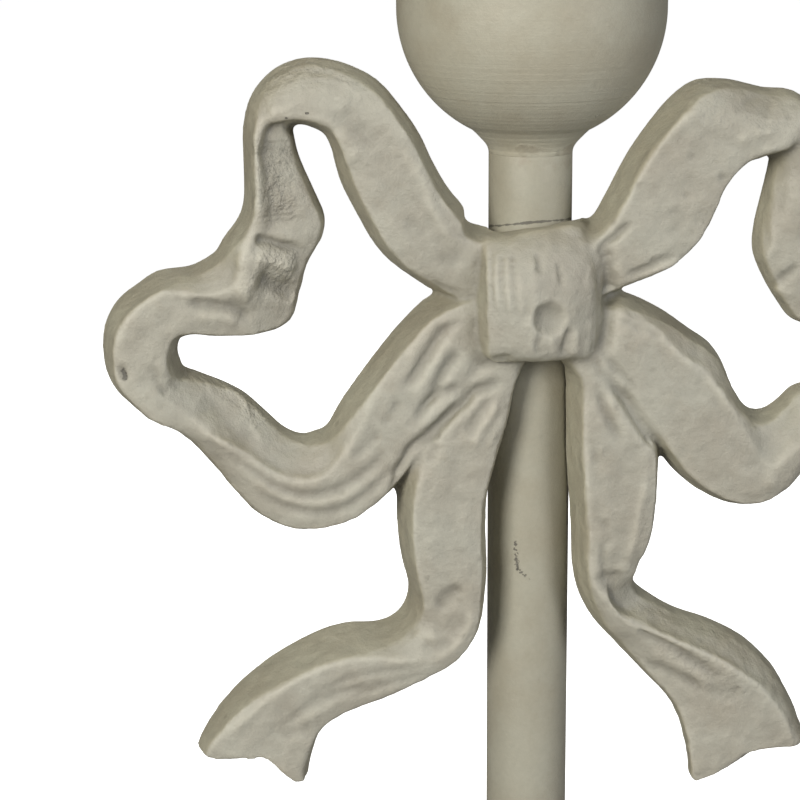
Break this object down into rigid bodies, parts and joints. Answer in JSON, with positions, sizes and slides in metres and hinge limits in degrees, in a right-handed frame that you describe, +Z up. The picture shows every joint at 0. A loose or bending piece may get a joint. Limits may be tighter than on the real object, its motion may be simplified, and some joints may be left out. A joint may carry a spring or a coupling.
{
  "type": "candle stand",
  "caption": "Tall table stand for one taper candle: round bell foot, slim tube stem with a cast ribbon bow on its front, a deep round cup and a loose drip pan nozzle.",
  "frame": {"origin": "on the table, under the middle of the stem", "axes": "+Z up along the stem, the bow is on the front at -Y, and +X points to the viewer's right when the bow is looked at from the front"},
  "size_m": [0.1435, 0.13, 0.341],
  "materials": {
    "paint": "satin stone grey paint over cast metal",
    "steel": "plain zinc plated",
    "felt": "dense dark felt"
  },
  "bodies": {
    "stand": {"base_foot": "paint", "foot_pad_1": "felt", "foot_pad_2": "felt", "foot_pad_3": "felt", "foot_pad_4": "felt", "base_collar": "paint", "stem_tube": "paint", "lower_plug": "steel", "upper_plug": "steel", "base_washer": "steel", "base_screw": "steel", "cup_washer": "steel", "cup_screw": "steel", "candle_cup": "paint", "ribbon_bow": "paint", "bow_saddle_washer": "steel", "bow_screw": "steel"},
    "nozzle": {"candle_nozzle": "paint"}
  },
  "joints": [
    {"name": "nozzle_lift", "type": "slide", "parent": "stand", "child": "nozzle", "axis": [0, 0, 1], "range_m": [0, 0.045]}
  ]
}
